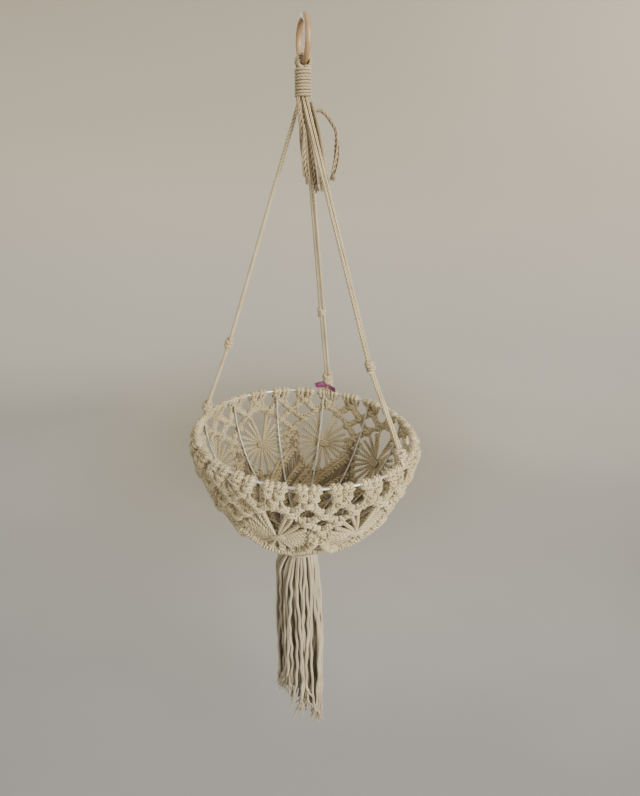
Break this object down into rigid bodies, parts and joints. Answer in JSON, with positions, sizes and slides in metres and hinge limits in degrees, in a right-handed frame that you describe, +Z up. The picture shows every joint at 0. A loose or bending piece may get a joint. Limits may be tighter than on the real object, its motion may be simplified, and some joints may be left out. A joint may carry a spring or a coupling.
{
  "type": "hanging rope basket",
  "caption": "Hanging basket of knotted cotton cord: a wire-rimmed bowl of open flower motifs on cord legs from a wooden ring, with a long tassel under it",
  "frame": {"origin": "the inner top of the wooden ring's bore, where the hook that carries the basket bears", "axes": "+Z up along the line that the basket hangs on; +Y away from the camera; +X to the right in the picture"},
  "size_m": [0.2595, 0.2598, 0.8849],
  "materials": {
    "pale_wood": "satin",
    "cotton_cord": "matte",
    "knotted_cotton": "matte",
    "hitched_cotton": "matte",
    "bright_wire": "satin",
    "mauve_film": "satin"
  },
  "bodies": {
    "ring": {"wooden_ring": "pale_wood"},
    "hanger": {"hanger_loop_1": "cotton_cord", "hanger_loop_2": "cotton_cord", "hanger_loop_3": "cotton_cord", "gathering_wrap": "cotton_cord", "cord_left_upper_a": "cotton_cord", "cord_left_upper_b": "cotton_cord", "cord_left_lower_a": "cotton_cord", "cord_left_lower_b": "cotton_cord", "cord_rear_upper_a": "cotton_cord", "cord_rear_upper_b": "cotton_cord", "cord_rear_lower_a": "cotton_cord", "cord_rear_lower_b": "cotton_cord", "cord_right_upper_a": "cotton_cord", "cord_right_upper_b": "cotton_cord", "cord_right_lower_a": "cotton_cord", "cord_right_lower_b": "cotton_cord", "knot_left": "cotton_cord", "knot_rear": "cotton_cord", "knot_right": "cotton_cord", "tie_left": "cotton_cord", "tie_rear": "cotton_cord", "tie_right": "cotton_cord", "tail_left": "cotton_cord", "tail_front": "cotton_cord", "tail_twisted": "cotton_cord", "tail_middle": "cotton_cord", "tail_loop": "cotton_cord", "film_tag": "mauve_film", "rim_hoop": "bright_wire", "rim_lace": "knotted_cotton", "flower_panel_1": "knotted_cotton", "flower_panel_2": "knotted_cotton", "flower_panel_3": "knotted_cotton", "flower_panel_4": "knotted_cotton", "flower_panel_5": "knotted_cotton", "flower_panel_6": "knotted_cotton", "flower_panel_7": "knotted_cotton", "flower_panel_8": "knotted_cotton", "hitched_foot": "hitched_cotton", "foot_ring": "bright_wire", "rib_wire_01": "bright_wire", "rib_wire_02": "bright_wire", "rib_wire_03": "bright_wire", "rib_wire_04": "bright_wire", "rib_wire_05": "bright_wire", "rib_wire_06": "bright_wire", "rib_wire_07": "bright_wire", "rib_wire_08": "bright_wire", "rib_wire_09": "bright_wire", "rib_wire_10": "bright_wire", "rib_wire_11": "bright_wire", "rib_wire_12": "bright_wire"},
    "tassel": {"tassel_gather": "cotton_cord", "tassel_binding": "cotton_cord", "tassel_strands": "hitched_cotton"}
  },
  "joints": [
    {"name": "hanger_swing", "type": "hinge", "parent": "ring", "child": "hanger", "pos_m": [0, 0, -0.033], "axis": [-0.2756, 0.9613, 0], "range_deg": [-60, 60]},
    {"name": "tassel_swing", "type": "hinge", "parent": "hanger", "child": "tassel", "pos_m": [-0.00307, 0, -0.56515], "axis": [0, 1, 0], "range_deg": [-25, 25]}
  ]
}
